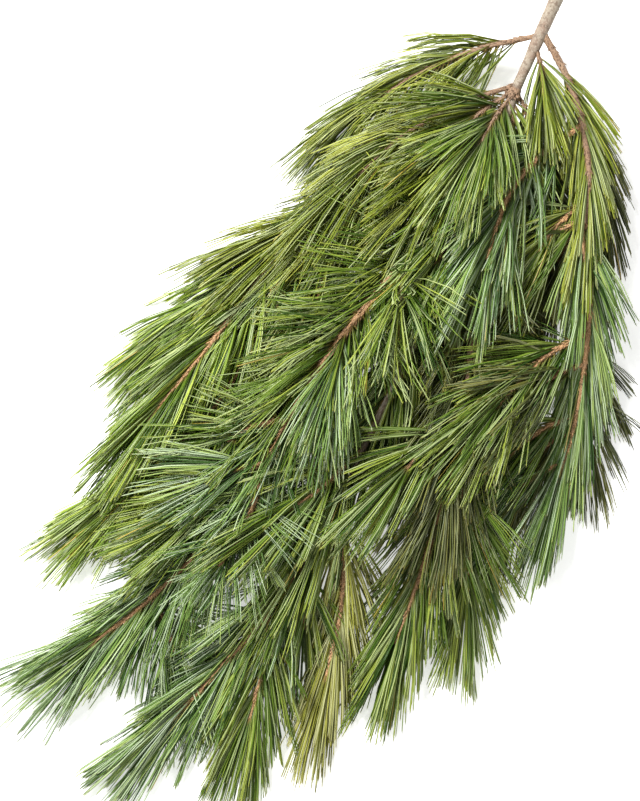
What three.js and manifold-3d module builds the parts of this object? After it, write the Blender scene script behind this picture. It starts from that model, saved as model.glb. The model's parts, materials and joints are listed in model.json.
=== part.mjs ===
// A cut bough of a long-needled pine, lying on a flat surface. Millimetres, +Z up.
// The stem's cut end is at the +Y end and every limb runs towards -Y. The origin is under the middle of
// the bough, on the surface. Wood is one tapered solid from fork to fork, and the needles round each
// stretch of wood are one soft envelope, as wide and as long as the needle tips reach.

import * as THREE from 'three';
import { mergeVertices } from 'three/addons/utils/BufferGeometryUtils.js';
import Module from 'manifold-3d';

// ---- driving dimensions ---------------------------------------------------------------------------
const STEM_HEIGHT = 36; // the stem's middle above the surface, at the cut
const NEEDLE_REACH = 76; // how far the needles run on past the tip of their twig
const TUFT_WIDTH = 31; // half the width of a full tuft
const TUFT_OPENING = 44; // how far from its first needles a tuft reaches its full width
const FULL_PAST_TIP = 8; // how far past the twig's tip the tuft keeps its full width
const BRUSH = { at: 0.62, width: 0.68 }; // share of the reach where the brush end has this share of the width
const FORK_CLEARANCE = 6; // needles start at least this far from a fork
const TUFT_FLATNESS = 0.78; // height of a tuft over its width: the bough's weight presses it
const GAP = 0.35; // clearance between neighbouring solids
const TUFT_GAP = 0.6; // clearance between the envelopes of two tufts
const PATH_STEP = 44; // spacing of the rings along a twig
const TUFT_STEP = 64; // spacing of the rings along a tuft
const LAYER_SHARE = 0.6; // share of a twig's length where its height says which tuft lies on which
const TWIG_SIDES = 6;
const TUFT_SIDES = 7;

const YOUNG_WOOD = 3; // wood thinner than this, in radius, still has its orange-brown bark

const BARK = new THREE.Color(0x8f7f68);
const TWIG_BARK = new THREE.Color(0xa5693d);
const NEEDLE_OLIVE = new THREE.Color(0x6f8a35);
const NEEDLE_GREEN = new THREE.Color(0x4f7a45);
const BARK_ROUGHNESS = 0.85;
const NEEDLE_ROUGHNESS = 0.5;

// ---- how the bough grows --------------------------------------------------------------------------
// from: the parent and the share of its length where this stretch leaves it
// lean: heading in plan at the base and at the tip, in degrees; 0 runs along -Y, positive towards +X
// length; tip: height of the tip; wood: radius at the base and at the tip
// bare: share of the wood that carries no needles; width: the tuft's width over a full one's
const GROWTH = [
  { name: 'cut_stem', lean: [4, 4], length: 80, tip: 44, wood: [4.6, 4.4], bare: 1 },
  { name: 'main', from: ['cut_stem', 1], lean: [9, -1], length: 415, tip: 46, wood: [3.9, 2.6],
    bare: 0.55, width: 0.95 },
  { name: 'leader', from: ['main', 1], lean: [-6, -18], length: 165, tip: 18, wood: [2.5, 1.5],
    bare: 0.06, width: 1.1 },

  { name: 'first_left', from: ['cut_stem', 0.4], lean: [-54, -26], length: 150, tip: 16,
    wood: [2.2, 1.3], bare: 0.12, width: 0.8 },
  { name: 'second_left', from: ['cut_stem', 0.94], lean: [-48, -14], length: 155, tip: 58,
    wood: [2.0, 1.3], bare: 0.12, width: 1 },
  { name: 'collar', from: ['cut_stem', 0.52], lean: [48, 26], length: 38, tip: 52,
    wood: [1.5, 1.1], bare: 0.3, width: 0.62 },

  { name: 'left_limb', from: ['main', 0.03], lean: [-24, -40], length: 215, tip: 40,
    wood: [2.7, 2.1], bare: 0.2, width: 0.9 },
  { name: 'left_edge', from: ['left_limb', 1], lean: [-14, -26], length: 100, tip: 19,
    wood: [1.6, 1.2], bare: 0.1, width: 0.9 },
  { name: 'left_middle', from: ['left_limb', 0.92], lean: [-6, -12], length: 180, tip: 46,
    wood: [1.9, 1.3], bare: 0.1, width: 0.95 },
  { name: 'left_outer', from: ['left_limb', 0.86], lean: [12, -26], length: 272, tip: 18,
    wood: [2.0, 1.3], bare: 0.06, width: 1 },
  { name: 'left_inner', from: ['left_limb', 0.66], lean: [10, 8], length: 185, tip: 18,
    wood: [1.6, 1.2], bare: 0.15, width: 1 },

  { name: 'front_limb', from: ['main', 0.2], lean: [-20, -5], length: 209, tip: 76,
    wood: [2.8, 2.4], bare: 0.12, width: 1.1 },
  { name: 'front_outer', from: ['front_limb', 1], lean: [4, -28], length: 272, tip: 24,
    wood: [2.3, 1.4], bare: 0.03, width: 1.05 },
  { name: 'front_side', from: ['front_outer', 0.28], lean: [-34, -28], length: 58, tip: 58,
    wood: [1.5, 1.1], bare: 0.15, width: 0.85 },
  { name: 'front_spur', from: ['front_outer', 0.76], lean: [66, 36], length: 48, tip: 18,
    wood: [1.4, 1.1], bare: 0.25, width: 0.8 },

  { name: 'upper_side', from: ['main', 0.735], lean: [-14, -28], length: 72, tip: 66,
    wood: [1.6, 1.2], bare: 0.2, width: 0.95 },
  { name: 'lower_spur', from: ['main', 0.98], lean: [34, 26], length: 52, tip: 24,
    wood: [1.5, 1.1], bare: 0.2, width: 0.9 },
  { name: 'lower_side', from: ['leader', 0.22], lean: [24, 12], length: 92, tip: 17,
    wood: [1.6, 1.2], bare: 0.12, width: 0.95 },
  { name: 'long_side', from: ['main', 0.83], lean: [36, 12], length: 152, tip: 18,
    wood: [1.8, 1.3], bare: 0.12, width: 0.95 },

  { name: 'centre_limb', from: ['main', 0.265], lean: [36, 12], length: 211, tip: 62,
    wood: [2.5, 2.1], bare: 0.15, width: 1.05 },
  { name: 'centre_outer', from: ['centre_limb', 1], lean: [14, 8], length: 128, tip: 26,
    wood: [2.0, 1.4], bare: 0.05, width: 1.05 },
  { name: 'centre_inner', from: ['centre_limb', 0.77], lean: [-44, -6], length: 54, tip: 74,
    wood: [1.5, 1.1], bare: 0.2, width: 0.95 },
  { name: 'centre_side', from: ['centre_limb', 0.9], lean: [48, 20], length: 112, tip: 18,
    wood: [1.7, 1.2], bare: 0.12, width: 0.95 },

  { name: 'right_limb', from: ['cut_stem', 0.36], lean: [62, 18], length: 162, tip: 60,
    wood: [2.7, 2.1], bare: 0.2, width: 0.95 },
  { name: 'right_outer', from: ['right_limb', 1], lean: [36, 10], length: 205, tip: 26,
    wood: [2.1, 1.4], bare: 0.04, width: 1.05 },
  { name: 'right_front', from: ['right_limb', 0.5], lean: [-34, 18], length: 130, tip: 74,
    wood: [1.8, 1.3], bare: 0.15, width: 1.05 },
  { name: 'right_edge', from: ['right_limb', 0.25], lean: [56, 28], length: 128, tip: 17,
    wood: [1.7, 1.2], bare: 0.15, width: 0.8 },
  { name: 'right_inner', from: ['right_outer', 0.4], lean: [-40, -6], length: 92, tip: 70,
    wood: [1.7, 1.2], bare: 0.15, width: 0.95 },
  { name: 'right_spur', from: ['right_outer', 0.42], lean: [52, 44], length: 34, tip: 20,
    wood: [1.4, 1.1], bare: 0.25, width: 0.7 },
  { name: 'right_low_spur', from: ['right_outer', 0.62], lean: [46, 32], length: 40, tip: 17,
    wood: [1.4, 1.1], bare: 0.25, width: 0.8 },
];

const OLIVE = new Set(['first_left', 'second_left', 'collar', 'left_limb', 'right_limb', 'right_edge',
  'long_side']);

// ---- paths ----------------------------------------------------------------------------------------
const UP = new THREE.Vector3(0, 0, 1);
const radians = THREE.MathUtils.degToRad;

// The middle line of one stretch: its heading turns evenly from base to tip and its height eases over.
function growPath({ lean, length, tip }, start) {
  const steps = Math.max(2, Math.round(length / PATH_STEP));
  const points = [start.clone()];
  const here = start.clone();
  for (let i = 1; i <= steps; i += 1) {
    const heading = radians(THREE.MathUtils.lerp(lean[0], lean[1], (i - 0.5) / steps));
    here.x += (length / steps) * Math.sin(heading);
    here.y -= (length / steps) * Math.cos(heading);
    here.z = THREE.MathUtils.lerp(start.z, tip, THREE.MathUtils.smoothstep(i / steps, 0, 1));
    points.push(here.clone());
  }
  return new THREE.CatmullRomCurve3(points, false, 'centripetal');
}

// Where a distance along the path is, with the directions across it; past the ends it runs on straight.
function station(path, distance) {
  const total = path.getLength();
  const share = THREE.MathUtils.clamp(distance / total, 0, 1);
  const along = path.getTangentAt(share);
  const at = path.getPointAt(share).addScaledVector(along, distance - share * total);
  const side = new THREE.Vector3().crossVectors(along, UP).normalize();
  return { at, side, over: new THREE.Vector3().crossVectors(side, along) };
}

// ---- solids ---------------------------------------------------------------------------------------
const wasm = await Module();
wasm.setup();

// Turns a profile of (radius, distance) points into a round solid, then bends it along the path.
function bentLathe(profile, path, sides, flatness = 1) {
  const lathe = new THREE.LatheGeometry(profile.map(([r, d]) => new THREE.Vector2(r, d)), sides);
  lathe.deleteAttribute('normal');
  lathe.deleteAttribute('uv');
  const shape = mergeVertices(lathe, 1e-4);
  const spots = shape.getAttribute('position');
  const stations = new Map();
  const spot = new THREE.Vector3();
  for (let i = 0; i < spots.count; i += 1) {
    spot.fromBufferAttribute(spots, i);
    if (!stations.has(spot.y)) stations.set(spot.y, station(path, spot.y));
    const { at, side, over } = stations.get(spot.y);
    const moved = at.clone().addScaledVector(side, spot.x).addScaledVector(over, spot.z * flatness);
    spots.setXYZ(i, moved.x, moved.y, moved.z);
  }
  return toSolid(shape);
}

function toSolid(shape) {
  const corners = shape.index.array;
  const triangles = [];
  for (let i = 0; i < corners.length; i += 3) {
    const [a, b, c] = corners.slice(i, i + 3);
    if (a !== b && b !== c && c !== a) triangles.push(a, b, c);
  }
  return new wasm.Manifold(new wasm.Mesh({
    numProp: 3,
    vertProperties: new Float32Array(shape.getAttribute('position').array),
    triVerts: new Uint32Array(triangles),
  }));
}

// Tapered wood with a closed flat base and a blunt bud at the tip; extra swells it, to cut a clearance.
function woodSolid({ wood, length }, path, extra = 0) {
  const rings = Math.max(2, Math.round(length / PATH_STEP));
  const profile = [[0, -extra]];
  for (let i = 0; i <= rings; i += 1) {
    profile.push([THREE.MathUtils.lerp(wood[0], wood[1], i / rings) + extra, (length * i) / rings]);
  }
  profile[1][1] -= extra;
  profile.push([0, length + wood[1] + extra]);
  return bentLathe(profile, path, TWIG_SIDES);
}

// The envelope of the needle tips: it opens from the first needles, runs full and closes to a brush end.
function tuftSolid({ length, bare, width }, path, extra = 0) {
  const radius = TUFT_WIDTH * width;
  const first = Math.max(length * bare, FORK_CLEARANCE);
  const opened = first + Math.min(TUFT_OPENING, (length - first + FULL_PAST_TIP) * 0.7);
  const full = length + FULL_PAST_TIP;
  const rings = Math.max(1, Math.round((full - opened) / TUFT_STEP));
  const profile = [[0, first - extra]];
  for (let i = 0; i <= rings; i += 1) {
    profile.push([radius + extra, THREE.MathUtils.lerp(opened, full, i / rings)]);
  }
  profile.push([radius * BRUSH.width + extra, length + NEEDLE_REACH * BRUSH.at]);
  profile.push([0, length + NEEDLE_REACH + extra]);
  return bentLathe(profile, path, TUFT_SIDES, TUFT_FLATNESS);
}

const largest = (solid) => solid.decompose().reduce((a, b) => (b.volume() > a.volume() ? b : a));

function toMesh(name, solid, color, roughness) {
  const { vertProperties, triVerts } = solid.getMesh();
  const geometry = new THREE.BufferGeometry();
  geometry.setAttribute('position', new THREE.BufferAttribute(new Float32Array(vertProperties), 3));
  geometry.setIndex(new THREE.BufferAttribute(new Uint32Array(triVerts), 1));
  geometry.computeVertexNormals();
  const mesh = new THREE.Mesh(geometry, new THREE.MeshStandardMaterial({ color, roughness }));
  mesh.name = name;
  return mesh;
}

// ---- the bough ------------------------------------------------------------------------------------
const shoots = new Map();
for (const row of GROWTH) {
  const [parent, share] = row.from ?? [];
  const start = parent
    ? shoots.get(parent).path.getPointAt(share)
    : new THREE.Vector3(0, 0, STEM_HEIGHT);
  shoots.set(row.name, { ...row, path: growPath(row, start) });
}

const group = new THREE.Group();

// Wood: each stretch is cut back to the bark of the older wood that it grows from.
let allWood = null;
for (const shoot of shoots.values()) {
  let solid = woodSolid(shoot, shoot.path);
  if (allWood) solid = largest(solid.subtract(allWood));
  const [suffix, color] = shoot.wood[0] < YOUNG_WOOD ? ['twig', TWIG_BARK] : ['wood', BARK];
  group.add(toMesh(`${shoot.name}_${suffix}`, solid, color, BARK_ROUGHNESS));
  const swollen = woodSolid(shoot, shoot.path, GAP);
  allWood = allWood ? allWood.add(swollen) : swollen;
}

// Needles: the tufts on top keep their shape, and each one below is cut back from those above it.
const middleHeight = ({ path }) => path.getPointAt(LAYER_SHARE).z;
const tufts = [...shoots.values()].filter(({ bare }) => bare < 1);
tufts.sort((a, b) => middleHeight(b) - middleHeight(a));
let above = null;
for (const shoot of tufts) {
  let solid = tuftSolid(shoot, shoot.path).trimByPlane([0, 0, 1], 0).subtract(allWood);
  if (above) solid = solid.subtract(above);
  const color = OLIVE.has(shoot.name) ? NEEDLE_OLIVE : NEEDLE_GREEN;
  group.add(toMesh(`${shoot.name}_needles`, largest(solid), color, NEEDLE_ROUGHNESS));
  const swollen = tuftSolid(shoot, shoot.path, TUFT_GAP);
  above = above ? above.add(swollen) : swollen;
}

// The origin goes under the middle of the bough, on the surface.
const box = new THREE.Box3().setFromObject(group, true);
group.position.set(-(box.min.x + box.max.x) / 2, -(box.min.y + box.max.y) / 2, -box.min.z);

export default group;
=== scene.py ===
"""A cut bough of a long-needled pine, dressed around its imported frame.

The frame gives the wood of every stretch as a plain taper and its needles as a soft envelope. This script
grows the real thing in their place: bark with bud scales on each twig, and needles in bundles of five.
"""

import json
import logging
import math
import zlib
from contextlib import contextmanager
from dataclasses import dataclass, field
from enum import Enum
from typing import Any, Callable, Iterable, Iterator, Optional, Union

import bmesh
import bpy
import numpy as np
from mathutils import Matrix, Vector

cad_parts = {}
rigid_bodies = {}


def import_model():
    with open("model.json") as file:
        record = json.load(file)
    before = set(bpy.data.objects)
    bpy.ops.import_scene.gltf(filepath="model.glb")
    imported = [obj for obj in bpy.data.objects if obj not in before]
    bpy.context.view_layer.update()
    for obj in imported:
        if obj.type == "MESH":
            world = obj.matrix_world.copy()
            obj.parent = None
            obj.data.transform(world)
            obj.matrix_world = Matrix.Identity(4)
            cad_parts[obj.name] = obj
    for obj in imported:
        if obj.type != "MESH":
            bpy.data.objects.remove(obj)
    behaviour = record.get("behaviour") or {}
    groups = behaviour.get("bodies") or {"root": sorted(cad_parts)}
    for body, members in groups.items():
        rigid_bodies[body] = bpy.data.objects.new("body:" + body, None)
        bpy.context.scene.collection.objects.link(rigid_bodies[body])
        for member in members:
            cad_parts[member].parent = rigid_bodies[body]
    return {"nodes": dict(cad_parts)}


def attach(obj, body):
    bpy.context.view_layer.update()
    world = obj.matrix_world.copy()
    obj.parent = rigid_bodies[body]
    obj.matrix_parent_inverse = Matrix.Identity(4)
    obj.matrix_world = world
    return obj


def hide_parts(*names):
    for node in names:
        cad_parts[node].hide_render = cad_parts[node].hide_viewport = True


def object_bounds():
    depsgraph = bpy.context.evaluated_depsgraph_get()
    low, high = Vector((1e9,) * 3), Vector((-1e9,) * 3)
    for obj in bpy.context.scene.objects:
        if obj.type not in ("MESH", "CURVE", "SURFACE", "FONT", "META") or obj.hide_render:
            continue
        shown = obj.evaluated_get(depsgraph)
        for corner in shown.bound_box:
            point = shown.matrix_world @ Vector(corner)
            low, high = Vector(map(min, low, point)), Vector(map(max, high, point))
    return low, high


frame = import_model()
CAD_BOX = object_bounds()

log = logging.getLogger("pine_branch")

Colour = tuple[float, float, float]
Array = np.ndarray
Piece = bpy.types.Object
Link = bpy.types.NodeSocket
Number = Union[Link, float]

BODY = "root"
UV_NAME = "OFBake"
WHITE = (1.0, 1.0, 1.0)
WOOD_SIDES = 6                          # sides of the frame's tapered wood
NEEDLES_IN_BUNDLE = 5
NEEDLE_SIDES = 3
GOLDEN_ANGLE = math.radians(137.5)
X_AXIS = np.array((1.0, 0.0, 0.0))
Z_AXIS = np.array((0.0, 0.0, 1.0))
FALL = np.array((0.26, -0.966, 0.0))    # the way that the whole bough is combed
SAG = 0.1 * Z_AXIS                      # how much needles hang
STRAYS = 0.06                           # the part of the bundles that pay no heed to the parting
CROWDING = 0.9                          # the lower it is, the more bundles stand near the tip
TIP_SHARE = 0.04                        # the last part of a twig, which carries its brush
TURN_SPREAD = 0.3                       # how uneven the spiral of bundles or scales is
SUNK = 0.85                             # where needles root, as a share of the wood's radius
ROOTED = 0.004                          # how deep a twig starts inside the older wood
LEAF_THICKNESS = 0.2                    # a bud scale's thickness, as a share of its length
SPRIG_RADII = (0.0014, 0.0009)          # a sprig's radius at its start and at its tip


# ---- shading ----


class Graph:
    """A material's nodes, made one call at a time."""

    def __init__(self, name: str) -> None:
        """Starts a material with a Principled shader.

        Args:
            name: the material's name.
        """
        self.material = bpy.data.materials.new(name)
        self.material.use_nodes = True
        self.tree = self.material.node_tree
        self.shader = self.tree.nodes["Principled BSDF"]

    def feed(self, node: bpy.types.Node, inputs: dict[Union[int, str], Any]) -> None:
        """Links or sets some of a node's inputs.

        Args:
            node: the node.
            inputs: a link, a value or a colour for each input.
        """
        for key, value in inputs.items():
            if isinstance(value, bpy.types.NodeSocket):
                self.tree.links.new(value, node.inputs[key])
            else:
                is_colour = node.inputs[key].type == "RGBA"
                node.inputs[key].default_value = (*value, 1.0) if is_colour else value

    def node(self, kind: str, settings: dict[str, Any], inputs: dict[Union[int, str], Any],
             output: Union[int, str] = 0) -> Link:
        """Adds a node.

        Args:
            kind: the node's type, without its usual first word.
            settings: its properties, set first.
            inputs: a link or a value for each input.
            output: which output to return.

        Returns:
            The output.
        """
        made = self.tree.nodes.new("ShaderNode" + kind)
        for key, value in settings.items():
            setattr(made, key, value)
        self.feed(made, inputs)
        return made.outputs[output]

    def math(self, operation: str, *values: Number) -> Link:
        """Returns the result of a Math node."""
        return self.node("Math", {"operation": operation}, dict(enumerate(values)))

    def ramp(self, value: Link, low: float, high: float, start: float = 0.0, end: float = 1.0) -> Link:
        """Returns a smooth change from start, where the value is low, to end, where it is high."""
        settings = {"interpolation_type": "SMOOTHSTEP"}
        return self.node("MapRange", settings, dict(enumerate((value, low, high, start, end))))

    def step(self, value: Link, limit: float, height: float) -> Link:
        """Returns the height where the value is over the limit, and 0 elsewhere."""
        return self.math("MULTIPLY", self.math("GREATER_THAN", value, limit), height)

    def mix(self, factor: Number, first: Any, second: Any) -> Link:
        """Returns a mix of two colours."""
        return self.node("Mix", {"data_type": "RGBA"}, {0: factor, 6: first, 7: second}, 2)

    def place(self) -> Link:
        """Returns Object coordinates."""
        return self.node("TexCoord", {}, {}, "Object")

    def noise(self, place: Link, scale: float, detail: float = 3.0) -> Link:
        """Returns a cloud noise of this many lumps a metre."""
        return self.node("TexNoise", {}, {"Vector": place, "Scale": scale, "Detail": detail})

    def surface(self, colour: Any, roughness: float, bump: Optional[Link] = None,
                depth: float = 0.0005) -> None:
        """Feeds the shader.

        Args:
            colour: the base colour.
            roughness: the roughness.
            bump: a height from 0 to 1, if there is relief.
            depth: the height of the relief, in metres.
        """
        self.feed(self.shader, {"Base Color": colour, "Roughness": roughness})
        if bump is not None:
            relief = self.node("Bump", {}, {"Distance": depth, "Height": bump})
            self.feed(self.shader, {"Normal": relief})


@dataclass(frozen=True)
class NeedleFinish:
    """Waxy needles: green backs, a pale bloom on one face that doubles as a painted highlight, a tan sheath,
    and now and then an old dry one.

    The piece's map holds the needle's face and tone across, and the way along the needle upwards, where
    painted shade darkens each needle's foot.
    """

    name: str
    deep: Colour
    green: Colour
    bright: Colour
    bloom_and_glint: Colour
    old: Colour = (0.52, 0.33, 0.06)
    sheath: Colour = (0.3, 0.18, 0.06)
    roughness: float = 0.36
    specular: float = 0.32

    def material(self) -> bpy.types.Material:
        """Makes the finish.

        Returns:
            The material.
        """
        graph = Graph(self.name)
        spots = graph.node("UVMap", {"uv_map": UV_NAME}, {})
        across, along = (graph.node("SeparateXYZ", {}, {0: spots}, axis) for axis in "XY")
        tone = graph.math("FRACT", graph.math("MULTIPLY", across, float(NEEDLE_SIDES)))
        colour = graph.mix(graph.ramp(tone, 0.0, 0.5), self.deep, self.green)
        colour = graph.mix(graph.ramp(tone, 0.45, 0.95), colour, self.bright)
        # One face of each needle takes the pale stomatal bloom, which also serves as a painted highlight on
        # the needles.
        colour = graph.mix(graph.step(across, 1.0 - 1.0 / NEEDLE_SIDES, 0.6), colour, self.bloom_and_glint)
        # Painted shade: each needle darkens towards its foot, where the bundles crowd round the twig.
        colour = graph.mix(graph.ramp(along, 0.05, 0.5, 0.5, 0.0), colour, self.deep)
        colour = graph.mix(graph.step(tone, 0.965, 0.7), colour, self.old)
        colour = graph.mix(graph.ramp(along, 0.02, 0.11, 0.7, 0.0), colour, self.sheath)
        colour = graph.mix(graph.ramp(along, 0.93, 1.0, 0.0, 0.3), colour, self.old)
        graph.surface(colour, self.roughness)
        graph.feed(graph.shader, {"Specular IOR Level": self.specular})
        return graph.material


@dataclass(frozen=True)
class BarkFinish:
    """Bark: two browns clouded together, darker in the cracks, with pale flakes and old bud scales.

    Its last three numbers are those of its wood: the sides, the step from ring to ring, and how lumpy it is.
    """

    name: str
    light: Colour
    dark: Colour
    blush: Colour
    flake: Colour
    flaking: float
    scales_per_metre: int
    cloud: float = 120.0
    roughness: float = 0.8
    relief: float = 0.0005
    sides: int = 10
    ring_step: float = 0.004
    lumpiness: float = 0.34

    def material(self) -> bpy.types.Material:
        """Makes the finish.

        Returns:
            The material.
        """
        graph = Graph(self.name)
        spots = graph.place()
        cloud = graph.noise(spots, self.cloud, 3.0)
        grain = graph.noise(spots, self.cloud * 6.0, 4.0)
        speck = graph.noise(spots, self.cloud * 16.0, 2.0)
        colour = graph.mix(graph.ramp(cloud, 0.38, 0.62), self.light, self.blush)
        colour = graph.mix(graph.ramp(grain, 0.36, 0.54, 0.75, 0.0), colour, self.dark)
        colour = graph.mix(graph.ramp(speck, 0.56, 0.66, 0.0, self.flaking), colour, self.flake)
        bump = graph.math("MULTIPLY_ADD", grain, 0.6, graph.math("MULTIPLY", speck, 0.4))
        graph.surface(colour, self.roughness, bump, self.relief)
        return graph.material


class Bark(Enum):
    """The bark of the stem, of two-year wood, and of this year's twigs."""

    STEM = BarkFinish("stem_bark_finish", (0.37, 0.31, 0.235), (0.17, 0.115, 0.078),
                      (0.285, 0.19, 0.135), (0.5, 0.45, 0.36), flaking=0.55, scales_per_metre=90,
                      cloud=60.0, roughness=0.78, relief=0.0003, sides=24, ring_step=0.003, lumpiness=0.1)
    OLDER = BarkFinish("older_bark_finish", (0.31, 0.185, 0.108), (0.1, 0.054, 0.032),
                       (0.37, 0.24, 0.152), (0.52, 0.385, 0.26), flaking=0.55, scales_per_metre=650)
    YOUNG = BarkFinish("young_bark_finish", (0.59, 0.335, 0.155), (0.23, 0.105, 0.045),
                       (0.48, 0.275, 0.135), (0.78, 0.6, 0.36), flaking=0.75, scales_per_metre=1700)

    @property
    def slot(self) -> str:
        """The record's slot that the bark belongs to."""
        return "bark" if self is Bark.STEM else "twig_bark"


@dataclass(frozen=True)
class CutFinish:
    """Pale sawn wood with growth rings round the pith."""

    middle: tuple[float, float, float]
    name: str = "cut_wood_finish"
    pale: Colour = (0.54, 0.4, 0.24)
    ring: Colour = (0.33, 0.215, 0.115)
    pith: Colour = (0.2, 0.11, 0.05)
    pith_radius: float = 0.0006
    ring_width: float = 0.0008

    def material(self) -> bpy.types.Material:
        """Makes the finish.

        Returns:
            The material.
        """
        graph = Graph(self.name)
        spots = graph.place()
        reach = graph.node("VectorMath", {"operation": "DISTANCE"}, {0: spots, 1: self.middle}, "Value")
        grain = graph.noise(spots, 2500.0)
        waver = graph.math("MULTIPLY", grain, 2.5)
        wave = graph.math("SINE", graph.math("MULTIPLY_ADD", reach, 2.0 * math.pi / self.ring_width, waver))
        colour = graph.mix(graph.ramp(wave, 0.0, 1.0, 0.0, 0.7), self.pale, self.ring)
        pith = graph.ramp(reach, self.pith_radius, 2.0 * self.pith_radius, 1.0, 0.0)
        colour = graph.mix(pith, colour, self.pith)
        graph.surface(colour, 0.82, grain, 0.0002)
        return graph.material


class Tint(Enum):
    """How a shoot's needles are coloured."""

    OLIVE = NeedleFinish("needles_olive_finish", (0.05, 0.085, 0.006), (0.2, 0.255, 0.022),
                         (0.43, 0.46, 0.07), (0.54, 0.6, 0.29))
    GREEN = NeedleFinish("needles_green_finish", (0.032, 0.08, 0.008), (0.145, 0.235, 0.024),
                         (0.37, 0.44, 0.07), (0.52, 0.6, 0.29))
    FRESH = NeedleFinish("needles_fresh_finish", (0.045, 0.1, 0.008), (0.22, 0.33, 0.032),
                         (0.5, 0.6, 0.095), (0.6, 0.69, 0.35))
    GLAUCOUS = NeedleFinish("needles_glaucous_finish", (0.036, 0.088, 0.016), (0.18, 0.3, 0.065),
                            (0.42, 0.54, 0.16), (0.64, 0.75, 0.52))
    YELLOW = NeedleFinish("needles_yellow_finish", (0.105, 0.115, 0.012), (0.35, 0.36, 0.055),
                          (0.6, 0.57, 0.15), (0.68, 0.68, 0.38))
    SHADED = NeedleFinish("needles_shaded_finish", (0.03, 0.042, 0.007), (0.098, 0.118, 0.022),
                          (0.235, 0.235, 0.055), (0.27, 0.29, 0.15))

    @property
    def slot(self) -> str:
        """The record's slot that the tint belongs to."""
        return "needles_olive" if self in (Tint.OLIVE, Tint.YELLOW, Tint.SHADED) else "needles_green"


@dataclass(frozen=True)
class Stance:
    """How needles stand on a twig.

    The angles off the twig are in degrees, at its first bundles and at its tip. Closing is how much a
    needle turns to lie along the twig, scatter how unlike each other the bundles are, swerve how much they
    bend sideways, fanning how far the five needles of a bundle spread, and parting how many degrees each
    side of the twig's top are left bare.
    """

    base_angle: float
    tip_angle: float
    closing: float
    scatter: float
    swerve: float
    fanning: float
    parting: float


class Habit(Enum):
    """The ways that shoots carry their needles."""

    COMBED = Stance(38.0, 13.0, 0.5, 0.34, 0.18, 0.042, 52.0)
    LOOSE = Stance(50.0, 16.0, 0.4, 0.36, 0.26, 0.058, 60.0)
    RUFFLED = Stance(92.0, 24.0, 0.12, 0.42, 0.45, 0.09, 50.0)
    BRUSH = Stance(27.0, 9.0, 0.6, 0.34, 0.14, 0.04, 78.0)
    CROWNED = Stance(34.0, 12.0, 0.5, 0.34, 0.2, 0.055, 0.0)


# ---- geometry ----


def deselect() -> None:
    """Leaves object mode with nothing selected."""
    if bpy.context.object and bpy.context.object.mode != "OBJECT":
        bpy.ops.object.mode_set(mode="OBJECT")
    bpy.ops.object.select_all(action="DESELECT")


def activate(piece: Piece) -> None:
    """Makes a piece the only selected and the active object.

    Args:
        piece: the object.
    """
    deselect()
    piece.select_set(True)
    bpy.context.view_layer.objects.active = piece


@contextmanager
def editing() -> Iterator[None]:
    """Runs a block in edit mode.

    Returns:
        A context, for a with statement.
    """
    bpy.ops.object.mode_set(mode="EDIT")
    yield
    bpy.ops.object.mode_set(mode="OBJECT")


def linked(name: str, data: bpy.types.ID) -> Piece:
    """Puts a new object into the scene.

    Args:
        name: its name.
        data: its mesh, curve or camera.

    Returns:
        The object.
    """
    made = bpy.data.objects.new(name, data)
    bpy.context.scene.collection.objects.link(made)
    return made


def settle(piece: Piece, name: str) -> Piece:
    """Puts a piece's place into its mesh and names it.

    Args:
        piece: the object.
        name: its new name.

    Returns:
        The piece, at the origin, unturned and unscaled.
    """
    activate(piece)
    bpy.ops.object.transform_apply(location=True, rotation=True, scale=True)
    piece.name = name
    piece.data.name = name
    return piece


def join_to(piece: Piece, *others: Piece) -> None:
    """Joins other objects to a piece.

    Args:
        piece: the piece, which keeps its name.
        *others: the objects that end in it.
    """
    activate(piece)
    for other in others:
        other.select_set(True)
    bpy.ops.object.join()


def select_edges(piece: Piece, wanted: Callable[[Vector, Vector], bool]) -> None:
    """Leaves only some edges selected, for edit mode.

    Args:
        piece: the object, which becomes the active one.
        wanted: says whether to select an edge, from its two ends.
    """
    activate(piece)
    bpy.context.tool_settings.mesh_select_mode = (False, True, False)
    corners = piece.data.vertices
    for item in (*corners, *piece.data.polygons):
        item.select = False
    for edge in piece.data.edges:
        edge.select = wanted(*(corners[i].co for i in edge.vertices))


def select_top(piece: Piece) -> None:
    """Leaves only the faces that look straight up selected, for edit mode.

    Args:
        piece: the object, which becomes the active one.
    """
    activate(piece)
    bpy.context.tool_settings.mesh_select_mode = (False, False, True)
    for item in (*piece.data.vertices, *piece.data.edges):
        item.select = False
    for face in piece.data.polygons:
        face.select = face.normal.z > 0.9


def lump(piece: Piece, name: str, size: float, strength: float) -> None:
    """Makes the surface uneven.

    Args:
        piece: the object.
        name: what the lumps are called.
        size: how broad they are.
        strength: how far they push the surface.
    """
    activate(piece)
    lumps = piece.modifiers.new(name, "DISPLACE")
    lumps.texture = bpy.data.textures.new(piece.name + "_" + name, "CLOUDS")
    lumps.texture.noise_scale = size
    lumps.texture_coords = "LOCAL"
    lumps.strength = strength
    bpy.ops.object.modifier_apply(modifier=lumps.name)


def unit(vectors: Array) -> Array:
    """Returns the vectors scaled to length one."""
    return vectors / np.maximum(np.linalg.norm(vectors, axis=-1, keepdims=True), 1e-12)


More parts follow.
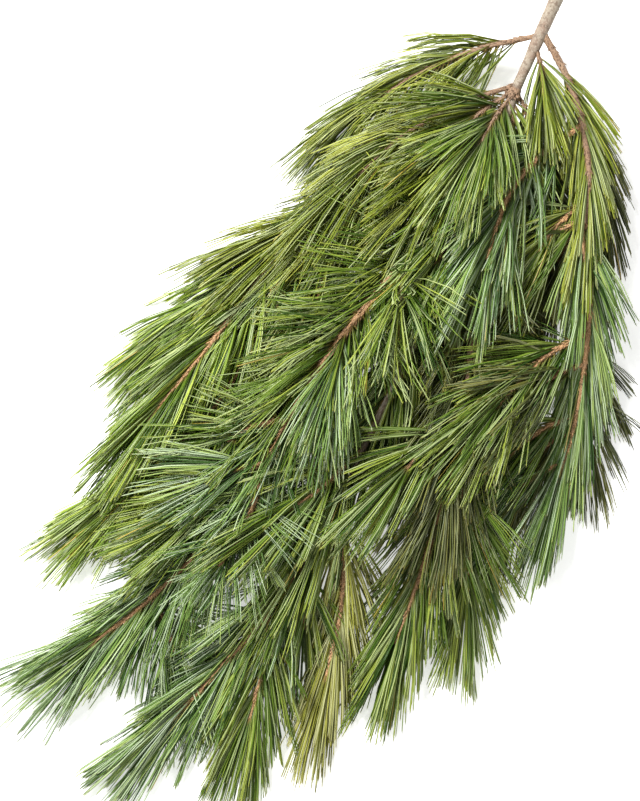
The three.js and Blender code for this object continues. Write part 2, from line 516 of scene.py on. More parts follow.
@dataclass(frozen=True)
class Envelope:
    """The room that needles may take: the frame's box and a little more."""

    low: Array
    high: Array
    layer: float = 0.012            # how thick the layer is that holds what is bent back
    spare_share: float = 0.03       # the room beyond the frame's box, as a share of its sides and in metres
    spare: float = 0.008
    floor_clearance: float = 0.0004

    @classmethod
    def round_frame(cls) -> "Envelope":
        """Measures the frame's box.

        Returns:
            The room round it.
        """
        low, high = (np.array(corner) for corner in CAD_BOX)
        spare = cls.spare_share * (high - low) + cls.spare
        low, high = low - spare, high + spare
        low[2] = cls.floor_clearance
        return cls(low, high)

    def fitted(self, points: Array, width: Array) -> Array:
        """Bends what would go past a wall, the surface or the top into a thin layer beside it.

        Args:
            points: the needles' middle lines, as needles by points by three.
            width: each needle's width, which it keeps off the surface.

        Returns:
            The points, all inside.
        """
        layer = self.layer
        low = (self.low + 0.5 * width[:, None] * Z_AXIS)[:, None, :]
        under, over = low + layer - points, points - (self.high - layer)
        points = np.where(under > 0, low + layer * np.exp(-np.maximum(under, 0) / layer), points)
        return np.where(over > 0, self.high - layer * np.exp(-np.maximum(over, 0) / layer), points)


@dataclass
class Spine:
    """The middle line of a stretch of wood, with its radius, read from its frame node."""

    knots: Array
    radii: Array
    step: float = 0.002             # between the even samples
    cuts: int = 24                  # steps from knot to knot before they are evened out
    points: Array = field(init=False)
    tangents: Array = field(init=False)
    thickness: Array = field(init=False)
    length: float = field(init=False)

    def __post_init__(self) -> None:
        """Draws a smooth line through the knots and samples it evenly."""
        gaps = np.linalg.norm(np.diff(self.knots, axis=0), axis=1)[:, None]
        slopes = np.diff(self.knots, axis=0) / gaps
        bends = (slopes[1:] * gaps[:-1] + slopes[:-1] * gaps[1:]) / (gaps[1:] + gaps[:-1])
        bends = np.vstack([slopes[:1], bends, slopes[-1:]])
        t = np.linspace(0.0, 1.0, self.cuts, endpoint=False)[None, :, None]
        line = (self.knots[:-1, None] + np.diff(self.knots, axis=0)[:, None] * (3 * t ** 2 - 2 * t ** 3)
                + (bends[:-1] * gaps)[:, None] * (t - 2 * t ** 2 + t ** 3)
                + (bends[1:] * gaps)[:, None] * (t ** 3 - t ** 2))
        line = np.vstack([line.reshape(-1, 3), self.knots[-1:]])
        thick_line = self.radii[:-1, None] + np.diff(self.radii)[:, None] * t[0, :, 0]
        thick_line = np.append(thick_line.ravel(), self.radii[-1])
        reach = np.concatenate([[0.0], np.cumsum(np.linalg.norm(np.diff(line, axis=0), axis=1))])
        self.length = float(reach[-1])
        even = np.linspace(0.0, self.length, max(4, round(self.length / self.step)) + 1)
        self.points = np.stack([np.interp(even, reach, line[:, k]) for k in range(3)], axis=1)
        self.tangents = unit(np.gradient(self.points, axis=0))
        self.thickness = np.interp(even, reach, thick_line)

    @classmethod
    def of_node(cls, name: str) -> "Spine":
        """Reads the line from the rings of a frame node's tapered wood.

        Args:
            name: the frame node.

        Returns:
            The spine, from inside the older wood to the tip.
        """
        shape = bmesh.new()
        shape.from_mesh(frame["nodes"][name].data)
        bmesh.ops.remove_doubles(shape, verts=shape.verts, dist=2e-6)
        shape.verts.ensure_lookup_table()
        tip = next(v for v in shape.verts if cls._is_tip(v))
        seen, ring = {tip.index}, [tip]
        centres, radii = [np.array(tip.co)], [0.0]
        while True:
            ring = [e.other_vert(v) for v in ring for e in v.link_edges]
            ring = list({v.index: v for v in ring if v.index not in seen}.values())
            if len(ring) != WOOD_SIDES:
                break
            seen.update(v.index for v in ring)
            spots = np.array([v.co for v in ring])
            centres.append(spots.mean(axis=0))
            radii.append(float(np.linalg.norm(spots - centres[-1], axis=1).mean()))
        rest = np.array([v.co for v in shape.verts if v.index not in seen]).reshape(-1, 3)
        shape.free()
        radii[0] = radii[1] * 0.5
        if len(rest) > 1:
            mouth = rest.mean(axis=0)
            centres += [mouth, mouth + unit(mouth - centres[-1]) * ROOTED]
            radii += [radii[-1] * 1.06, radii[-1] * 1.1]
        return cls(np.array(centres[::-1]), np.array(radii[::-1]))

    @staticmethod
    def _is_tip(corner: bmesh.types.BMVert) -> bool:
        """Says whether a corner is the blunt tip's pole.

        Args:
            corner: the corner.

        Returns:
            Whether it is over the middle of its ring, and off the ring's plane.
        """
        around = np.array([e.other_vert(corner).co for e in corner.link_edges])
        if len(around) != WOOD_SIDES:
            return False
        away = np.linalg.norm(around - np.array(corner.co), axis=1)
        height = np.linalg.norm(around.mean(axis=0) - np.array(corner.co))
        return bool(away.std() < 0.05 * away.mean() and height > 0.3 * away.mean())

    def at(self, distances: Array) -> tuple[Array, Array, Array, Array, Array]:
        """Looks up places along the line.

        Args:
            distances: how far along, in metres.

        Returns:
            The points, the directions along, sideways and over, and the wood's radius there.
        """
        even = np.linspace(0.0, self.length, len(self.points))
        spots = np.stack([np.interp(distances, even, self.points[:, k]) for k in range(3)], axis=1)
        along = unit(np.stack([np.interp(distances, even, self.tangents[:, k]) for k in range(3)], axis=1))
        side = unit(np.cross(along, Z_AXIS))
        return spots, along, side, np.cross(side, along), np.interp(distances, even, self.thickness)


@dataclass
class Template:
    """A small shape modelled once: its corners and its faces, ready to be copied."""

    corners: Array
    faces: list[tuple[int, ...]]

    @classmethod
    def needle(cls) -> "Template":
        """Models one needle: flat sides of unit width along +Z, drawn out to a point."""
        return cls._pointed(NEEDLE_SIDES, 0.0, ((0.33, 0.5), (0.7, 0.49), (0.975, 0.4)))

    @classmethod
    def scale(cls) -> "Template":
        """Models one bud scale: a leaf-shaped wedge along +Z, broadest below its middle."""
        return cls._pointed(4, math.pi / 4, ((0.45, 0.4675),))

    @classmethod
    def _pointed(cls, sides: int, turn: float, rings: tuple[tuple[float, float], ...]) -> "Template":
        """Models a cone that bulges.

        Args:
            sides: how many sides it has.
            turn: how far it is turned about its axis.
            rings: the height and the radius of each ring of edges on its way up.

        Returns:
            The cone, one long and one wide at its foot.
        """
        deselect()
        bpy.ops.mesh.primitive_cone_add(vertices=sides, radius1=0.5, radius2=0.0, depth=1.0,
                                        location=(0, 0, 0.5), rotation=(0, 0, turn))
        cone = settle(bpy.context.object, "pattern")
        with editing():
            for height, _ in rings:
                bpy.ops.mesh.select_all(action="SELECT")
                bpy.ops.mesh.bisect(plane_co=(0, 0, height), plane_no=(0, 0, 1))
        for height, radius in rings:
            select_edges(cone, lambda start, end: max(abs(start.z - height), abs(end.z - height)) < 1e-4)
            widening = radius / (0.5 * (1.0 - height))
            with editing():
                bpy.ops.transform.resize(value=(widening, widening, 1.0))
        return cls._taken_from(cone)

    @classmethod
    def _taken_from(cls, piece: Piece) -> "Template":
        """Copies the shape out of an object and removes the object.

        Args:
            piece: the object.

        Returns:
            The shape.
        """
        corners = np.array([v.co for v in piece.data.vertices], float)
        faces = [tuple(p.vertices) for p in piece.data.polygons]
        bpy.data.objects.remove(piece)
        return cls(corners, faces)

    def copied(self, name: str, spots: Array, uv: Optional[Array] = None) -> Piece:
        """Joins many copies into one mesh.

        Args:
            name: the piece's name.
            spots: the corners of every copy, as copies by corners by three.
            uv: the map of every face corner, as copies by face corners by two.

        Returns:
            The piece.
        """
        copies, corners = spots.shape[:2]
        sizes = np.array([len(f) for f in self.faces])
        loops = np.concatenate([np.array(f) for f in self.faces])
        every = (loops[None, :] + corners * np.arange(copies)[:, None]).ravel()
        starts = np.concatenate([[0], np.cumsum(np.tile(sizes, copies))[:-1]])
        mesh = bpy.data.meshes.new(name)
        mesh.vertices.add(copies * corners)
        mesh.vertices.foreach_set("co", spots.astype(np.float32).ravel())
        mesh.loops.add(len(every))
        mesh.loops.foreach_set("vertex_index", every.astype(np.int32))
        mesh.polygons.add(len(starts))
        mesh.polygons.foreach_set("loop_start", starts.astype(np.int32))
        if uv is not None:
            layer = mesh.uv_layers.new(name=UV_NAME, do_init=False)
            layer.uv.foreach_set("vector", uv.astype(np.float32).ravel())
        mesh.update(calc_edges=True)
        return linked(name, mesh)

    def planted(self, name: str, axis: Array, height: Array, turn: Array, away: Array, lift: Array,
                size: Array, breadth: float) -> Piece:
        """Joins flat copies that stand round an axis.

        Args:
            name: the piece's name.
            axis: the axis, which is one of the three of the piece.
            height: how far along the axis each copy starts.
            turn: how far round the axis.
            away: how far off the axis.
            lift: how far its length turns away from the axis.
            size: its length.
            breadth: the breadth of all, as a share of their length.

        Returns:
            The piece.
        """
        first, second = np.roll(axis, 1), np.roll(axis, 2)
        out = np.outer(np.cos(turn), first) + np.outer(np.sin(turn), second)
        around = np.outer(np.cos(turn), second) - np.outer(np.sin(turn), first)
        ahead = np.outer(np.cos(lift), axis) + np.sin(lift)[:, None] * out
        roots = np.outer(height, axis) + away[:, None] * out
        x, y, z = (self.corners[:, k][None, :, None] for k in range(3))
        lie = (z * ahead[:, None] + breadth * x * around[:, None]
               + LEAF_THICKNESS * y * np.cross(around, ahead)[:, None])
        return self.copied(name, roots[:, None] + size[:, None, None] * lie)

    def unfolded(self, sides: int) -> tuple[Array, Array, Array]:
        """Unfolds the faces round the shape's length.

        Args:
            sides: how many sides the shape has.

        Returns:
            For each face corner, the side that its face is on, how far across that face it is from -1 to 1,
            and how far along the shape.
        """
        rows = []
        for face in self.faces:
            spots = self.corners[list(face)]
            offset = spots - spots.mean(axis=0)
            turn = math.atan2(*spots.mean(axis=0)[1::-1]) % (2.0 * math.pi)
            across = offset @ (-math.sin(turn), math.cos(turn), 0.0)
            outward = offset @ (math.cos(turn), math.sin(turn), 0.0)
            side = np.full(len(face), int(turn / (2.0 * math.pi) * sides) % sides)
            rows.append(np.stack([side, across / np.abs(across).max(), spots[:, 2] + 0.01 * outward]))
        return tuple(np.concatenate(rows, axis=1))


# ---- pieces ----


@dataclass(frozen=True)
class Bundles:
    """A shoot's bundles: their roots, the ways out of the wood, first and last, and their lengths."""

    roots: Array
    radial: Array
    lean: Array
    ahead: Array
    length: Array


@dataclass
class Shoot:
    """One stretch of wood with the needles that it carries."""

    name: str
    tint: Tint = Tint.GREEN
    habit: Habit = Habit.COMBED
    bare: float = 0.12
    per_metre: float = 1200.0
    brush: int = 16
    needle: float = 0.084
    needle_width: float = 0.0011
    comb: float = 0.12
    flatness: float = 0.75
    bark: Bark = Bark.YOUNG
    girth: float = 1.0
    spine: Spine = field(init=False)
    rng: np.random.Generator = field(init=False)

    def __post_init__(self) -> None:
        """Finds the middle line and seeds the shoot's own randomness."""
        self.rng = np.random.default_rng(zlib.crc32(self.name.encode()))
        self.spine = self._middle_line()
        self.spine.thickness *= self.girth

    def _middle_line(self) -> Spine:
        """Reads the middle line from the frame."""
        return Spine.of_node(self.wood_node)

    @property
    def wood_node(self) -> str:
        """The frame node of the shoot's wood."""
        return self.name + ("_wood" if self.bark is Bark.STEM else "_twig")

    @property
    def nodes(self) -> tuple[list[str], list[str]]:
        """The frame nodes that the wood and the needles stand for."""
        return [self.wood_node], [self.name + "_needles"]

    def build_needles(self, pattern: Template, room: Envelope) -> Piece:
        """Grows the shoot's needles.

        Args:
            pattern: one needle.
            room: the room that they may take.

        Returns:
            The needles as one piece.
        """
        rng, fanning = self.rng, self.habit.value.fanning
        bundles = self._bundles()
        of = np.repeat(np.arange(len(bundles.length)), NEEDLES_IN_BUNDLE)
        bent = unit(bundles.lean[of] + rng.normal(0.0, fanning, (len(of), 3)))[:, None]
        ahead = unit(bundles.ahead[of] + rng.normal(0.0, 1.15 * fanning, (len(of), 3)))[:, None]
        width = self.needle_width * self._varied(len(of), 0.12, 0.7, 1.3)
        length = (bundles.length[of] * self._varied(len(of), 0.05, 0.8, 1.1))[:, None, None]
        x, y, t = pattern.corners.T
        way = t[None, :, None]
        line = bundles.roots[of][:, None] + length * way * (bent * (1.0 - 0.5 * way) + ahead * 0.5 * way)
        heading = unit(bent * (1.0 - way) + ahead * way)
        across = unit(np.cross(heading, bundles.radial[of][:, None] + 1e-4))
        swing = rng.uniform(0.0, 2.0 * math.pi, len(of))[:, None]
        x, y = np.cos(swing) * x - np.sin(swing) * y, np.sin(swing) * x + np.cos(swing) * y
        section = x[:, :, None] * across + y[:, :, None] * np.cross(across, heading)
        corners = room.fitted(line, width) + width[:, None, None] * section
        return pattern.copied(self.name + "_bundles", corners, self._needle_map(pattern, of))

    def _bundles(self) -> Bundles:
        """Draws where the bundles stand on the twig and which way they grow.

        Returns:
            The bundles.
        """
        rng, stance = self.rng, self.habit.value
        first = self.spine.length * self.bare
        count = int((self.spine.length - first) * self.per_metre) + self.brush
        share = np.sort(rng.random(count)) ** CROWDING
        share[count - self.brush:] = 1.0 - TIP_SHARE * rng.random(self.brush)
        spots, along, side, over, radius = self.spine.at(first + share * (self.spine.length - first))
        turn = self._turns(share)
        radial = np.sin(turn)[:, None] * side + np.cos(turn)[:, None] * over
        angle = self._angles(share, turn)[:, None]
        pressed = unit(radial - over * (np.cos(turn) * (1.0 - self.flatness))[:, None])
        lean = np.cos(angle) * along + np.sin(angle) * pressed + 0.5 * self.comb * FALL
        swerve = np.cross(along, radial) * rng.normal(0.0, stance.swerve, count)[:, None]
        ahead = lean + stance.closing * along + self.comb * FALL + swerve - SAG
        length = self.needle * self._varied(count, 0.09, 0.7, 1.15) * (0.84 + 0.16 * share)
        return Bundles(spots + SUNK * radius[:, None] * radial, radial, lean, ahead, length)

    def _turns(self, share: Array) -> Array:
        """Draws how far round from the twig's top the bundles stand, clear of the parting.

        Args:
            share: how far along the twig each one is, from 0 to 1.

        Returns:
            The angles.
        """
        turn = np.arange(len(share)) * GOLDEN_ANGLE + self.rng.normal(0.0, TURN_SPREAD, len(share))
        turn = turn % (2.0 * math.pi) - math.pi
        parting = math.radians(self.habit.value.parting) * np.clip(1.3 - share, 0.0, 1.0)
        parting *= self.rng.random(len(share)) > STRAYS
        return np.sign(turn) * (parting + np.abs(turn) * (1.0 - parting / math.pi))

    def _angles(self, share: Array, turn: Array) -> Array:
        """Draws how far the bundles stand off the twig, which is less on top than at the sides.

        Args:
            share: how far along the twig each one is, from 0 to 1.
            turn: how far round from its top.

        Returns:
            The angles.
        """
        stance = self.habit.value
        angle = np.radians(stance.base_angle + (stance.tip_angle - stance.base_angle) * share ** 0.8)
        angle *= self._varied(len(share), stance.scatter, 0.3, 1.8)
        on_top = np.clip(np.cos(turn), 0.0, 1.0)
        return angle * (1.0 - 0.5 * on_top * np.minimum(angle / (0.5 * math.pi), 1.0))

    def _varied(self, count: int, spread: float, low: float, high: float) -> Array:
        """Draws factors round 1, of this spread and between these limits."""
        return np.clip(self.rng.normal(1.0, spread, count), low, high)

    def _needle_map(self, pattern: Template, of: Array) -> Array:
        """Lays out the needles' map: face and tone across, the way along the needle upwards.

        Args:
            pattern: one needle.
            of: the bundle of each needle.

        Returns:
            The map of every face corner.
        """
        rng = self.rng
        bundles = of[-1] + 1
        tone = np.clip(rng.beta(1.7, 1.9, bundles), 0.02, 0.93)
        tones = np.clip(tone[of] + rng.normal(0.0, 0.13, len(of)), 0.02, 0.94)
        tones = np.where(rng.random(len(of)) < 0.006, 0.985, tones)
        side, across, along = pattern.unfolded(NEEDLE_SIDES)
        u = (side[None, :] + tones[:, None] + 0.004 * across[None, :]) / NEEDLE_SIDES
        return np.stack([u, np.broadcast_to(0.01 + 0.98 * along[None, :], u.shape)], axis=2)

    def build_wood(self, scale: Template) -> Piece:
        """Models the wood: a tapered stem with bud scales, laid along the shoot's line.

        Args:
            scale: one bud scale.

        Returns:
            The wood as one piece.
        """
        reach, finish = self.spine.length, self.bark.value
        wide, slim = self.spine.thickness[0], self.spine.thickness[-2]
        deselect()
        bpy.ops.mesh.primitive_cone_add(vertices=finish.sides, radius1=wide, radius2=slim, depth=reach,
                                        location=(reach / 2, 0, 0), rotation=(0, math.pi / 2, 0))
        wood = settle(bpy.context.object, self.name + "_bark")
        select_edges(wood, lambda start, end: abs(start.x - end.x) > reach / 2)
        with editing():
            bpy.ops.mesh.subdivide(number_cuts=max(4, round(reach / finish.ring_step)))
        lump(wood, "swellings", 5.0 * wide, 0.22 * wide)
        lump(wood, "bases", 1.1 * wide, finish.lumpiness * wide)
        bpy.ops.object.shade_smooth()
        join_to(wood, self._scales(scale, reach))
        return self._laid(wood)

    def _scales(self, scale: Template, reach: float) -> Piece:
        """Sets bud scales round the straight wood, spiralling to a bud at the tip.

        Args:
            scale: one bud scale.
            reach: the length of the wood.

        Returns:
            The scales as one object.
        """
        rng = self.rng
        bud_scales, bud_start, bud_length = 26, reach - 0.004, 0.0035
        count = int(reach * self.bark.value.scales_per_metre) + bud_scales
        place = np.sort(rng.uniform(0.0, reach, count))
        place[-bud_scales:] = np.linspace(bud_start, reach + bud_length, bud_scales)
        turn = np.arange(count) * GOLDEN_ANGLE + rng.normal(0.0, TURN_SPREAD, count)
        closing = np.clip((place - reach) / bud_length, 0.0, 1.0)
        radius = np.interp(place, np.linspace(0.0, reach, len(self.spine.thickness)), self.spine.thickness)
        lift = rng.uniform(6.0, 32.0, count)
        lift = np.radians(np.where(place >= bud_start, 8.0 - 24.0 * closing, lift))
        size = rng.uniform(0.0026, 0.0054, count)
        away = 0.82 * radius * (1.0 - 0.85 * closing)
        return scale.planted(self.name + "_scales", X_AXIS, place, turn, away, lift, size, 0.42)

    def _laid(self, wood: Piece) -> Piece:
        """Bends straight wood along the shoot's line with a curve modifier, applied.

        Args:
            wood: the wood, along +X.

        Returns:
            The same object.
        """
        line = bpy.data.curves.new(self.name + "_line", "CURVE")
        line.dimensions = "3D"
        line.twist_mode = "Z_UP"
        strand = line.splines.new("POLY")
        strand.points.add(len(self.spine.points) - 1)
        strand.points.foreach_set(
            "co", np.hstack([self.spine.points, np.ones((len(self.spine.points), 1))]).ravel())
        guide = linked(line.name, line)
        activate(wood)
        bend = wood.modifiers.new("bend", "CURVE")
        bend.object = guide
        bend.deform_axis = "POS_X"
        bpy.ops.object.modifier_apply(modifier=bend.name)
        bpy.data.objects.remove(guide)
        bpy.data.curves.remove(line)
        return wood


def present(piece: Piece, slot: str, material: bpy.types.Material, *nodes: str) -> None:
    """Dresses a finished piece and ties it to the frame.

    Args:
        piece: the piece.
        slot: the record's slot for its finish; not used.
        material: its finish.
        *nodes: the frame nodes that it stands for.
    """
    piece.data.materials.clear()
    piece.data.materials.append(material)
    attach(piece, BODY)
    if nodes:
        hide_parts(*nodes)
    log.info("%s: %d faces", piece.name, len(piece.data.polygons))


@dataclass
class Sprig(Shoot):
    """A small side shoot that the frame leaves out, grown from an older one."""

    parent: Optional[Shoot] = None
    share: float = 0.5
    lean: tuple[float, float] = (0.0, 0.0)
    length: float = 0.06
    tip_height: float = 0.07
    brush: int = 10

    def _middle_line(self) -> Spine:
        """Draws a line that leaves the parent's own.

        Returns:
            The line.
        """
        start = self.parent.spine.at(np.array([self.share * self.parent.spine.length]))[0][0]
        steps = 5
        knots = [start]
        for i in range(steps):
            heading = math.radians(self.lean[0] + (self.lean[1] - self.lean[0]) * (i + 0.5) / steps)
            stride = np.array((math.sin(heading), -math.cos(heading), 0.0)) * self.length / steps
            knots.append(knots[-1] + stride)
            rise = (i + 1) / steps
            knots[-1][2] = start[2] + (self.tip_height - start[2]) * rise * rise * (3.0 - 2.0 * rise)
        return Spine(np.array(knots), np.linspace(*SPRIG_RADII, steps + 1))

    @property
    def nodes(self) -> tuple[list[str], list[str]]:
        """No frame node stands for a sprig."""
        return [], []


@dataclass
class CutEnd:
    """The sawn end of the stem: a slightly crowned disc with a chamfered rim."""

    spine: Spine
    thickness: float = 0.0012
    sides: int = 24

    def build(self) -> None:
        """Models the end and dresses it."""
        middle, outward = self.spine.points[0], -self.spine.tangents[0]
        radius = float(self.spine.thickness[0])
        deselect()
        bpy.ops.mesh.primitive_cylinder_add(vertices=self.sides, radius=radius * 0.97, depth=self.thickness)
        disc = bpy.context.object
        select_top(disc)
        with editing():
            bpy.ops.mesh.inset(thickness=radius * 0.12, depth=self.thickness * 0.25)
            bpy.ops.mesh.inset(thickness=radius * 0.6, depth=self.thickness * 0.1)
        turn = Vector(outward).to_track_quat("Z", "Y").to_matrix().to_4x4()
        disc.matrix_world = Matrix.Translation(Vector(middle)) @ turn
        settle(disc, "cut_end")
        present(disc, "bark", CutFinish(tuple(float(v) for v in middle)).material())


@dataclass
class Whorl:
    """The knot where the stem stops: a swollen ring of bark with the stubs and scales of old buds."""

    spine: Spine
    share: float = 0.985
    swelling: float = 1.5
    stub: float = 0.0042
    stubs: int = 6
    scales: int = 70
    seed: int = 11

    def build(self, scale: Template, finish: bpy.types.Material) -> None:
        """Models the knot and dresses it.

        Args:
            scale: one bud scale.
            finish: the older bark's material.
        """
        middle, along, side, over, radius = (
            row[0] for row in self.spine.at(np.array([self.share * self.spine.length])))
        deselect()
        bpy.ops.mesh.primitive_uv_sphere_add(segments=20, ring_count=12, radius=radius * self.swelling)
        knot = bpy.context.object
        knot.scale = (1.0, 1.0, 1.25)
        settle(knot, "whorl_knot")
        lump(knot, "lumps", 0.8 * radius, 0.6 * radius)
        bpy.ops.object.shade_smooth()
        for i in range(self.stubs):
            self._add_stub(knot, radius, 2.0 * math.pi * i / self.stubs + 0.4 * math.sin(7.0 * i))
        self._add_scales(knot, scale, radius)
        turn = Matrix((side, over, along)).transposed().to_4x4()
        knot.matrix_world = Matrix.Translation(Vector(middle)) @ turn
        settle(knot, "whorl_knot")
        present(knot, "bark", finish)

    def _add_stub(self, knot: Piece, radius: float, turn: float) -> None:
        """Joins one bevelled stub to the knot, leaning forward.

        Args:
            knot: the knot.
            radius: the radius of the wood.
            turn: how far round the knot the stub stands.
        """
        out = Vector((math.cos(turn), math.sin(turn), 0.55)).normalized()
        place = out * radius * self.swelling
        bpy.ops.mesh.primitive_cone_add(vertices=10, radius1=self.stub * 0.62, radius2=self.stub * 0.4,
                                        depth=self.stub, location=place,
                                        rotation=out.to_track_quat("Z", "Y").to_euler())
        stub = bpy.context.object
        with editing():
            bpy.ops.mesh.select_all(action="SELECT")
            bpy.ops.mesh.bevel(offset=self.stub * 0.12, segments=2, affect="EDGES")
        join_to(knot, stub)

    def _add_scales(self, knot: Piece, scale: Template, radius: float) -> None:
        """Joins a ruff of bud scales to the knot.

        Args:
            knot: the knot.
            scale: one bud scale.
            radius: the radius of the wood.
        """
        rng = np.random.default_rng(self.seed)
        turn = np.arange(self.scales) * GOLDEN_ANGLE
        lift = np.radians(rng.uniform(12.0, 60.0, self.scales))
        height = radius * rng.uniform(-0.2, 1.0, self.scales)
        away = np.full(self.scales, SUNK * self.swelling * radius)
        size = rng.uniform(0.0035, 0.0065, self.scales)
        join_to(knot, scale.planted("whorl_scales", Z_AXIS, height, turn, away, lift, size, 0.45))


@dataclass
class Bough:
    """The whole bough."""

    shoots: list[Shoot]

    @classmethod
    def of_tables(cls, shoots: dict[str, dict[str, Any]], sprigs: dict[str, dict[str, Any]]) -> "Bough":
        """Makes the bough from its shoots' and sprigs' traits.

        Args:
            shoots: the traits of each shoot that the frame holds.
            sprigs: the traits of each sprig, with its parent's name.

        Returns:
            The bough.
        """
        grown = {name: Shoot(name, **traits) for name, traits in shoots.items()}
        for name, traits in sprigs.items():
            grown[name] = Sprig(name, **{**traits, "parent": grown[traits["parent"]]})
        return cls(list(grown.values()))

    def build(self) -> None:
        """Grows every shoot and dresses it."""
        needle, scale, room = Template.needle(), Template.scale(), Envelope.round_frame()
        finish = {choice: choice.value.material() for kinds in (Tint, Bark) for choice in kinds}
        for shoot in self.shoots:
            wood_nodes, needle_nodes = shoot.nodes
            present(shoot.build_wood(scale), shoot.bark.slot, finish[shoot.bark], *wood_nodes)
            if shoot.bare < 1.0:
                needles = shoot.build_needles(needle, room)
                present(needles, shoot.tint.slot, finish[shoot.tint], *needle_nodes)
        CutEnd(self.shoots[0].spine).build()
        Whorl(self.shoots[0].spine).build(scale, finish[Bark.OLDER])


SHOOTS = {
    "cut_stem": dict(bare=1.0, bark=Bark.STEM, girth=1.2),
    "main": dict(bare=0.26, bark=Bark.STEM, per_metre=1000.0, brush=0),
    "leader": dict(tint=Tint.GLAUCOUS, bare=0.06),
    "first_left": dict(bark=Bark.OLDER, tint=Tint.OLIVE, habit=Habit.LOOSE, comb=0.7, per_metre=900.0,
                       needle_width=0.001),
    "second_left": dict(bark=Bark.OLDER, tint=Tint.OLIVE, habit=Habit.LOOSE, comb=0.6, needle_width=0.001),
    "collar": dict(bark=Bark.OLDER, tint=Tint.OLIVE, needle=0.06, per_metre=900.0),
    "left_limb": dict(bark=Bark.OLDER, tint=Tint.OLIVE, habit=Habit.LOOSE, comb=0.4, brush=0),
    "left_edge": dict(tint=Tint.FRESH, comb=0.3),
    "left_middle": dict(tint=Tint.FRESH),
    "left_outer": dict(tint=Tint.FRESH, bare=0.06),
    "left_inner": dict(habit=Habit.LOOSE),
    "front_limb": dict(habit=Habit.RUFFLED, comb=0.0, brush=0),
    "front_outer": dict(tint=Tint.GLAUCOUS, habit=Habit.LOOSE, bare=0.08),
    "front_side": dict(habit=Habit.LOOSE),
    "front_spur": dict(tint=Tint.GLAUCOUS, habit=Habit.LOOSE),
    "upper_side": dict(),
    "lower_spur": dict(),
    "lower_side": dict(),
    "long_side": dict(tint=Tint.YELLOW, habit=Habit.BRUSH),
    "centre_limb": dict(bark=Bark.OLDER, tint=Tint.SHADED, habit=Habit.LOOSE, brush=0),
    "centre_outer": dict(bare=0.05),
    "centre_inner": dict(per_metre=700.0),
    "centre_side": dict(),
    "right_limb": dict(bark=Bark.OLDER, tint=Tint.OLIVE, habit=Habit.BRUSH, bare=0.2, comb=0.2,
                       needle=0.066, brush=0),
    "right_outer": dict(tint=Tint.GLAUCOUS, habit=Habit.BRUSH, bare=0.04, comb=0.3, per_metre=1500.0),
    "right_front": dict(tint=Tint.GLAUCOUS, habit=Habit.LOOSE, bare=0.15),
    "right_edge": dict(tint=Tint.SHADED, habit=Habit.BRUSH, bare=0.15, comb=0.3, needle=0.076,
                       per_metre=900.0),
    "right_inner": dict(habit=Habit.LOOSE, bare=0.15),
    "right_spur": dict(tint=Tint.SHADED, needle=0.07, needle_width=0.0009, per_metre=700.0),
    "right_low_spur": dict(tint=Tint.SHADED, needle=0.075, needle_width=0.0009, per_metre=800.0),
}

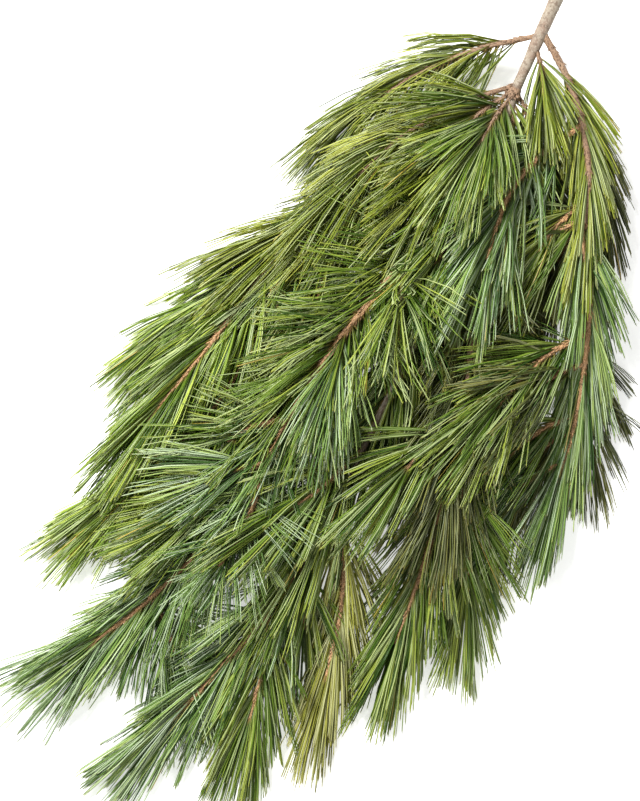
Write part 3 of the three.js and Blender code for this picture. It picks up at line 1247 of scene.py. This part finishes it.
SPRIGS = {
    "whorl_left": dict(parent="cut_stem", share=0.97, lean=(-36.0, -10.0), tip_height=0.06,
                       tint=Tint.OLIVE, habit=Habit.LOOSE, bark=Bark.OLDER),
    "whorl_middle": dict(parent="cut_stem", share=0.99, lean=(-14.0, 4.0), length=0.05, tip_height=0.08,
                         habit=Habit.LOOSE, bark=Bark.OLDER),
    "whorl_right": dict(parent="cut_stem", share=0.97, lean=(26.0, 10.0), length=0.05, tip_height=0.046,
                        habit=Habit.LOOSE, bark=Bark.OLDER),
    "upper_left": dict(parent="main", share=0.09, lean=(-34.0, -10.0), length=0.07, tip_height=0.062,
                       tint=Tint.OLIVE, habit=Habit.LOOSE, needle_width=0.001),
    "upper_right": dict(parent="main", share=0.12, lean=(24.0, 8.0), length=0.075, tip_height=0.046),
    "upper_middle": dict(parent="main", share=0.19, lean=(4.0, -6.0), length=0.07, tip_height=0.064),
    "right_fill": dict(parent="right_limb", share=0.88, lean=(-34.0, -2.0), length=0.05, tip_height=0.056,
                       tint=Tint.OLIVE),
    "right_gap": dict(parent="right_limb", share=0.97, lean=(-14.0, 4.0), length=0.065, tip_height=0.03,
                      tint=Tint.SHADED, habit=Habit.LOOSE, per_metre=1800.0),
    "whorl_under": dict(parent="cut_stem", share=0.95, lean=(58.0, 30.0), length=0.085, tip_height=0.02,
                        tint=Tint.SHADED, habit=Habit.LOOSE, bark=Bark.OLDER),
    "lower_gap": dict(parent="right_outer", share=0.8, lean=(-40.0, 10.0), tip_height=0.018,
                      tint=Tint.SHADED),
    "low_middle": dict(parent="centre_limb", share=0.55, lean=(20.0, 0.0), length=0.07, tip_height=0.03,
                       tint=Tint.SHADED),
    "middle_gap": dict(parent="centre_limb", share=0.35, lean=(8.0, -4.0), length=0.08, tip_height=0.022,
                       tint=Tint.SHADED, habit=Habit.LOOSE, per_metre=1500.0, bark=Bark.OLDER),
    "edge_fill": dict(parent="left_limb", share=0.3, lean=(-44.0, -26.0), tip_height=0.04,
                      tint=Tint.OLIVE, comb=0.3),
    "right_under": dict(parent="right_limb", share=0.97, lean=(-50.0, -10.0), length=0.05, tip_height=0.05),
    "dark_side": dict(parent="right_outer", share=0.55, lean=(-50.0, -20.0), length=0.05, tip_height=0.06,
                      tint=Tint.SHADED),
    "inner_fill": dict(parent="right_outer", share=0.74, lean=(-46.0, -16.0), tip_height=0.04),
    "inner_low": dict(parent="right_outer", share=0.92, lean=(-42.0, -14.0), length=0.05, tip_height=0.026,
                      tint=Tint.GLAUCOUS),
    "behind_right": dict(parent="right_limb", share=0.85, lean=(-24.0, -8.0), tip_height=0.03,
                         tint=Tint.SHADED),
    "crossing": dict(parent="front_outer", share=0.1, lean=(-66.0, -24.0), length=0.045, tip_height=0.066,
                     habit=Habit.RUFFLED, per_metre=700.0, needle=0.07, needle_width=0.0009),
    "tangle": dict(parent="front_outer", share=0.27, lean=(24.0, -12.0), length=0.075, tip_height=0.076,
                   tint=Tint.GLAUCOUS, habit=Habit.RUFFLED, bare=0.0, per_metre=900.0, needle=0.062,
                   needle_width=0.0008, brush=2),
    "front_crown": dict(parent="front_limb", share=0.4, lean=(30.0, 24.0), length=0.022, tip_height=0.078,
                        habit=Habit.RUFFLED, per_metre=700.0, brush=5),
    "front_brush": dict(parent="front_limb", share=0.74, lean=(14.0, 18.0), length=0.034, tip_height=0.08,
                        tint=Tint.GLAUCOUS, habit=Habit.CROWNED),
    "outer_brush": dict(parent="front_outer", share=0.24, lean=(-54.0, -44.0), length=0.022,
                        tip_height=0.07, tint=Tint.GLAUCOUS, habit=Habit.LOOSE, brush=5),
    "hanging": dict(parent="left_limb", share=0.74, lean=(22.0, 8.0), length=0.08, tip_height=0.044,
                    tint=Tint.OLIVE, habit=Habit.LOOSE),
}


# ---- setting ----


@dataclass(frozen=True)
class Lamp:
    """A square lamp that looks at the bough."""

    name: str
    place: tuple[float, float, float]
    size: float
    power: float

    def hang(self) -> None:
        """Adds the lamp."""
        bpy.ops.object.light_add(type="AREA", location=self.place)
        lamp = bpy.context.object
        lamp.name = self.name
        lamp.data.size = self.size
        lamp.data.energy = self.power
        lamp.rotation_euler = (-Vector(self.place)).to_track_quat("-Z", "Y").to_euler()


@dataclass
class Studio:
    """A pale floor, soft light from above, and the camera that looks down on the bough."""

    lamps: tuple[Lamp, ...] = (Lamp("key", (-1.5, 0.6, 2.1), 0.7, 110.0),
                               Lamp("fill", (1.8, -0.6, 2.4), 2.0, 14.0))
    surround: float = 0.34
    floor_size: float = 14.0
    floor_glow: float = 0.55
    roll: float = 28.4
    height: float = 2.4
    view_length: float = 0.64
    sensor: float = 36.0
    look_at: tuple[float, float] = (-0.038, -0.0052)

    def build(self) -> None:
        """Sets up the floor, the lights and the camera."""
        self._floor()
        self._surround()
        for lamp in self.lamps:
            lamp.hang()
        self._camera()
        bpy.context.scene.view_settings.view_transform = "Standard"

    def _floor(self) -> None:
        """Lays a large pale floor under the bough."""
        deselect()
        bpy.ops.mesh.primitive_plane_add(size=self.floor_size)
        floor = settle(bpy.context.object, "floor")
        graph = Graph("floor_finish")
        graph.surface((0.93, 0.93, 0.92), 0.9)
        graph.feed(graph.shader, {"Specular IOR Level": 0.1, "Emission Color": WHITE,
                                  "Emission Strength": self.floor_glow})
        floor.data.materials.append(graph.material)

    def _surround(self) -> None:
        """Surrounds the scene with even white light."""
        world = bpy.data.worlds.new("surround")
        world.use_nodes = True
        background = world.node_tree.nodes["Background"]
        background.inputs["Color"].default_value = (*WHITE, 1.0)
        background.inputs["Strength"].default_value = self.surround
        bpy.context.scene.world = world

    def _camera(self) -> None:
        """Puts the camera straight above, turned so that the bough lies across the frame."""
        data = bpy.data.cameras.new("camera")
        data.sensor_fit = "VERTICAL"
        data.sensor_height = self.sensor
        data.lens = self.sensor * self.height / self.view_length
        camera = linked("camera", data)
        turn = Matrix.Rotation(math.radians(self.roll), 4, "Z")
        camera.matrix_world = Matrix.Translation((*self.look_at, self.height)) @ turn
        bpy.context.scene.camera = camera


def main() -> None:
    """Builds the bough and its setting."""
    logging.basicConfig(level=logging.INFO, format="%(name)s %(message)s")
    Studio().build()
    Bough.of_tables(SHOOTS, SPRIGS).build()


if __name__ == "__main__":
    main()
